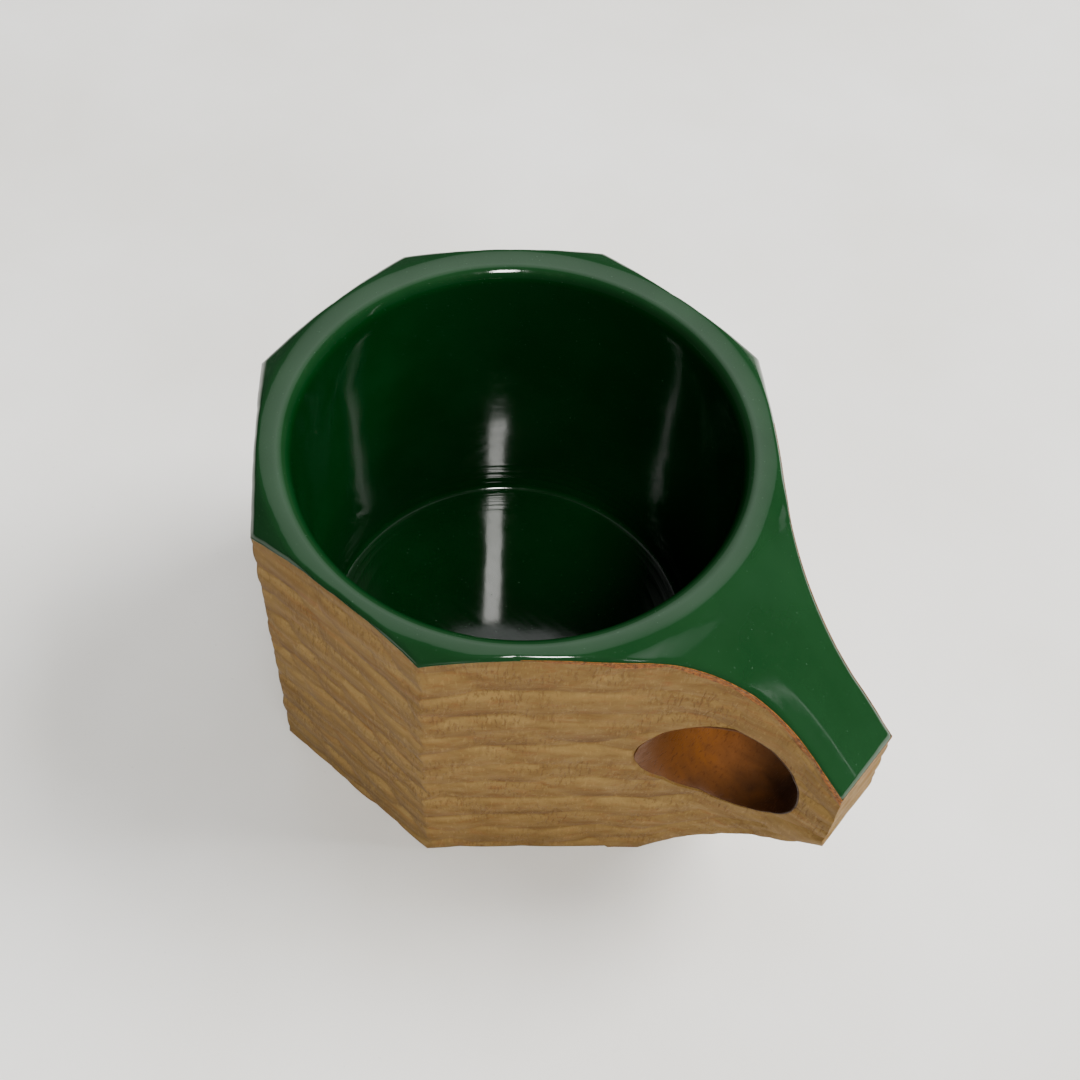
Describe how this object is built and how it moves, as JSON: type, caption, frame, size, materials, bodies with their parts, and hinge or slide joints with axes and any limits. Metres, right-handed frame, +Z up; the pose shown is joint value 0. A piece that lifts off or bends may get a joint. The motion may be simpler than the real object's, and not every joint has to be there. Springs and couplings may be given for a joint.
{
  "type": "carved wooden cup",
  "caption": "Octagonal carved wooden cup with a turned bowl, a wing-shaped finger-hole handle and a green lacquer coat.",
  "frame": {"origin": "on the flat base, on the axis of the turned bowl", "axes": "+Z up along the bowl axis, +X from the bowl towards the handle's tip"},
  "size_m": [0.1172, 0.0859, 0.0705],
  "materials": {
    "carved_wood": "dry oiled wood with shallow gouge marks",
    "brown_undercoat": "thin orange-brown undercoat, rough where it is rubbed through",
    "green_lacquer": "deep green high-gloss lacquer",
    "brown_lacquer": "smooth dark red-brown wiped lacquer, satin"
  },
  "bodies": {
    "root": {"wood_body": "carved_wood", "brown_undercoat": "brown_undercoat", "green_lacquer": "green_lacquer", "finger_hole_lacquer": "brown_lacquer"}
  },
  "joints": []
}
